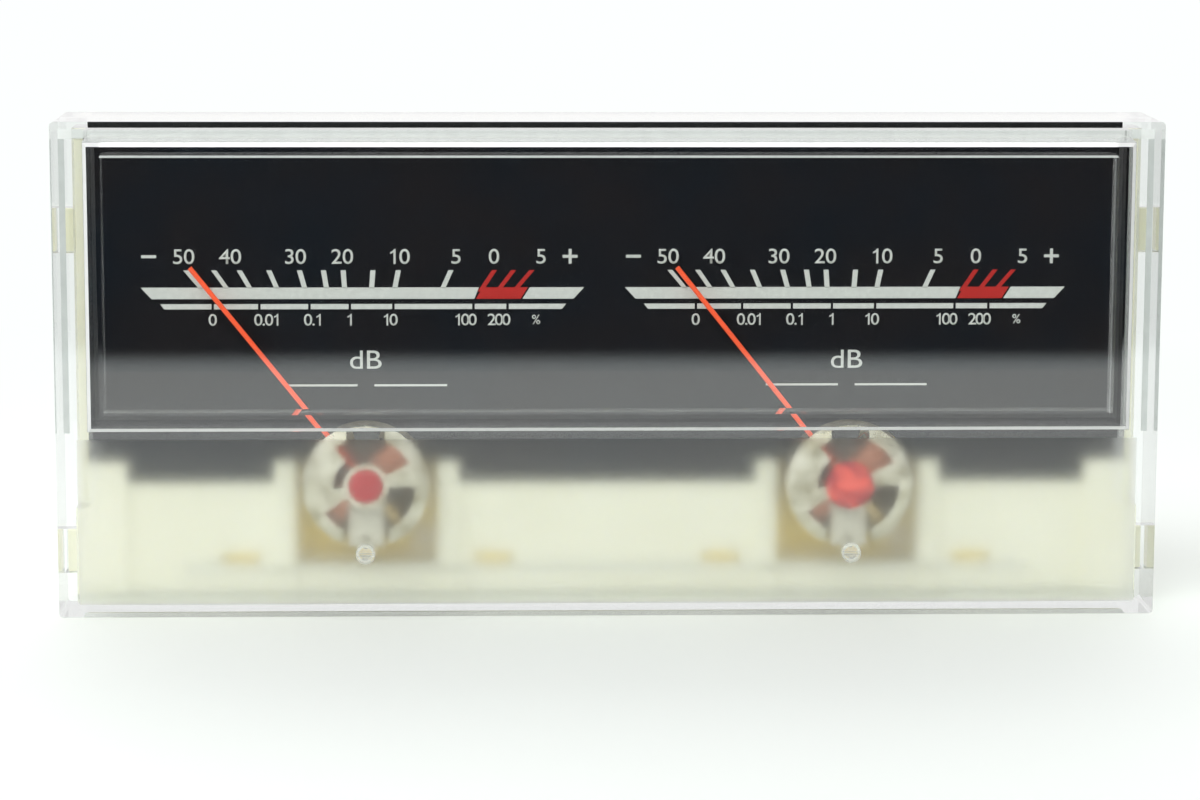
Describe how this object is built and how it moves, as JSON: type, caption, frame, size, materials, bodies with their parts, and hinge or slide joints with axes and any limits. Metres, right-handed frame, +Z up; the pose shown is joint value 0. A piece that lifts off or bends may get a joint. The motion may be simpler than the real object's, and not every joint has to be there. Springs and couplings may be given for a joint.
{
  "type": "analog VU meter",
  "caption": "Panel level meter with pointers on coil movements behind one clear window, with backlit scales, zero adjusters and rear solder pins.",
  "frame": {"origin": "bottom centre of the bounding box, under the middle of the whole depth", "axes": "+X to the right as seen from the front, +Y from the window to the terminals, +Z up"},
  "size_m": [0.155, 0.0348, 0.07],
  "materials": {
    "clear_plastic": "clear moulded plastic, frosted below the window",
    "ivory_plastic": "ivory moulded plastic",
    "dial_black": "matt black print",
    "diffuser_film": "milky white film",
    "gold_plate": "yellow passivated zinc plate",
    "brass": "turned brass",
    "magnet_alloy": "ground dark magnet alloy",
    "soft_iron": "blackened soft iron",
    "plated_steel": "zinc plated steel",
    "spring_bronze": "bronze strip",
    "tinned_pin": "tinned",
    "red_varnish": "hardened varnish",
    "red_paint": "bright red paint",
    "aluminium": "thin sheet",
    "copper": "enamelled copper wire",
    "grey_nylon": "light grey moulded plastic",
    "white_board": "white solder mask",
    "lamp_yellow": "yellow phosphor"
  },
  "bodies": {
    "root": {"clear_cover": "clear_plastic", "dial_plate": "dial_black", "dial_diffuser": "diffuser_film", "rear_housing": "ivory_plastic", "led_board": "white_board", "led_lamps": "lamp_yellow", "lamp_terminals": "tinned_pin", "left_front_bridge": "gold_plate", "left_front_screw": "brass", "left_magnet_core": "magnet_alloy", "left_core_clamp": "brass", "left_yoke_ring": "soft_iron", "left_base_plate": "gold_plate", "left_plate_screws": "plated_steel", "left_rear_bridge": "gold_plate", "left_rear_screw": "brass", "left_rear_hairspring": "spring_bronze", "left_terminals": "tinned_pin", "left_varnish": "red_varnish", "right_front_bridge": "gold_plate", "right_front_screw": "brass", "right_magnet_core": "magnet_alloy", "right_core_clamp": "brass", "right_yoke_ring": "soft_iron", "right_base_plate": "gold_plate", "right_plate_screws": "plated_steel", "right_rear_bridge": "gold_plate", "right_rear_screw": "brass", "right_rear_hairspring": "spring_bronze", "right_terminals": "tinned_pin", "right_varnish": "red_varnish"},
    "left_movement": {"left_pivots": "brass", "left_pointer": "red_paint", "left_balance_arm": "aluminium", "left_counterweight": "brass", "left_moving_coil": "copper", "left_coil_former": "aluminium"},
    "left_lever": {"left_zero_lever": "grey_nylon", "left_front_hairspring": "spring_bronze"},
    "left_stud": {"left_zero_stud": "clear_plastic"},
    "right_movement": {"right_pivots": "brass", "right_pointer": "red_paint", "right_balance_arm": "aluminium", "right_counterweight": "brass", "right_moving_coil": "copper", "right_coil_former": "aluminium"},
    "right_lever": {"right_zero_lever": "grey_nylon", "right_front_hairspring": "spring_bronze"},
    "right_stud": {"right_zero_stud": "clear_plastic"}
  },
  "joints": [
    {"name": "left_pointer_swing", "type": "hinge", "parent": "root", "child": "left_movement", "pos_m": [-0.0343, -0.0049, 0.0182], "axis": [0, 1, 0], "range_deg": [-2, 79], "stiffness_Nm_per_rad": 0.000015, "deforming": ["left_front_hairspring", "left_rear_hairspring"]},
    {"name": "left_zero_adjust", "type": "hinge", "parent": "root", "child": "left_stud", "pos_m": [-0.0343, -0.0116, 0.0091], "axis": [0, 1, 0], "range_deg": [-60, 60]},
    {"name": "left_lever_shift", "type": "hinge", "parent": "root", "child": "left_lever", "pos_m": [-0.0343, -0.00625, 0.0182], "axis": [0, 1, 0], "range_deg": [-6, 6]},
    {"name": "right_pointer_swing", "type": "hinge", "parent": "root", "child": "right_movement", "pos_m": [0.0343, -0.0049, 0.0182], "axis": [0, 1, 0], "range_deg": [-2, 79], "stiffness_Nm_per_rad": 0.000015, "deforming": ["right_front_hairspring", "right_rear_hairspring"]},
    {"name": "right_zero_adjust", "type": "hinge", "parent": "root", "child": "right_stud", "pos_m": [0.0343, -0.0116, 0.0091], "axis": [0, 1, 0], "range_deg": [-60, 60]},
    {"name": "right_lever_shift", "type": "hinge", "parent": "root", "child": "right_lever", "pos_m": [0.0343, -0.00625, 0.0182], "axis": [0, 1, 0], "range_deg": [-6, 6]}
  ],
  "couplings": [
    {"joint": "left_lever_shift", "follows": "left_zero_adjust", "ratio": -0.0808},
    {"joint": "right_lever_shift", "follows": "right_zero_adjust", "ratio": -0.0808}
  ]
}
